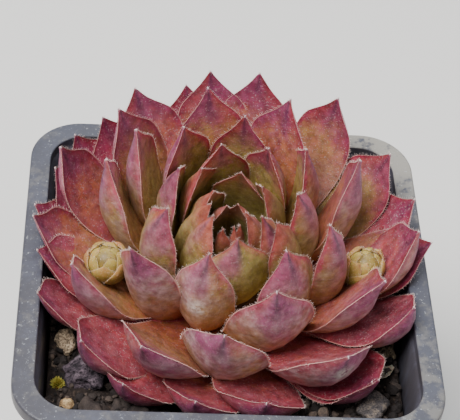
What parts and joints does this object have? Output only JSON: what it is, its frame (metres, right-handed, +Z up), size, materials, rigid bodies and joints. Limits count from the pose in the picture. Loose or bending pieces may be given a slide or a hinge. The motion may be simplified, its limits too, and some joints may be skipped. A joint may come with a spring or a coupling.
{
  "type": "potted houseleek",
  "caption": "Rosette houseleek with plump pointed leaves and two small closed offsets, growing in dark grit in a square lipped nursery pot",
  "frame": {"origin": "centre of the flat underside of the pot's floor", "axes": "+Z up the pot; -Y towards the front of the plant, the side that the heart leans to; +X to the right seen from the front"},
  "size_m": [0.08, 0.0813, 0.0962],
  "materials": {
    "pot": "dull dark moulded plastic with dust and dried water marks",
    "grit": "damp dark grit",
    "leaf": null,
    "offset": null,
    "lava": "rough dark lava",
    "pumice": "rough tan-grey pumice",
    "pebble": "rough grey stone",
    "chip": "rough tan stone",
    "dead_leaf": null
  },
  "bodies": {
    "root": {"pot": "pot", "growing_medium": "grit", "main_rosette": "leaf", "offset_left": "offset", "offset_right": "offset", "lava_stone": "lava", "pumice_left": "pumice", "pumice_right": "pumice", "grey_pebble": "pebble", "tan_chip": "chip", "dry_leaf": "dead_leaf"}
  },
  "joints": []
}
